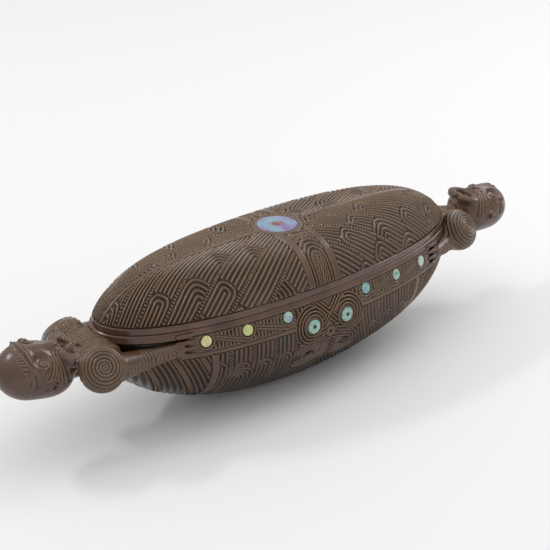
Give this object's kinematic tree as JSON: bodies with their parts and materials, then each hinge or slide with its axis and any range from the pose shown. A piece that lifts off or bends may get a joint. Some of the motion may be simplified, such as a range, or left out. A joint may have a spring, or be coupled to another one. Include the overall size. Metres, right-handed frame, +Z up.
{
  "type": "carved treasure box",
  "caption": "Boat-shaped carved wooden treasure box with a figure at each end, a domed lift-off lid and shell disc inlays.",
  "frame": {"origin": "centre of the small flat on the belly that the box rests on", "axes": "+X along the box towards the smaller head, -Y towards the front, +Z up"},
  "size_m": [0.4917, 0.1256, 0.1201],
  "materials": {
    "hull_wood": "hand-carved dark brown wood with a worn satin polish",
    "lid_wood": "hand-carved dark brown wood with a worn satin polish",
    "shell": "polished iridescent sea-ear shell, blue-green to yellow-green",
    "red_peg": "reddish wood peg, waxed",
    "dark_peg": "near-black wood peg, waxed"
  },
  "bodies": {
    "root": {"hull": "hull_wood", "disc_front_outer_left": "shell", "disc_front_middle_left": "shell", "disc_front_inner_left": "shell", "eye_ring_front_left": "shell", "eye_pupil_front_left": "dark_peg", "disc_front_outer_right": "shell", "disc_front_middle_right": "shell", "disc_front_inner_right": "shell", "eye_ring_front_right": "shell", "eye_pupil_front_right": "dark_peg", "disc_back_outer_left": "shell", "disc_back_middle_left": "shell", "disc_back_inner_left": "shell", "eye_ring_back_left": "shell", "eye_pupil_back_left": "dark_peg", "disc_back_outer_right": "shell", "disc_back_middle_right": "shell", "disc_back_inner_right": "shell", "eye_ring_back_right": "shell", "eye_pupil_back_right": "dark_peg"},
    "lid": {"lid": "lid_wood", "lid_disc": "shell", "lid_disc_peg": "red_peg"}
  },
  "joints": [
    {"name": "lid_lift", "type": "slide", "parent": "root", "child": "lid", "axis": [0, 0, 1], "range_m": [0, 0.12]}
  ]
}
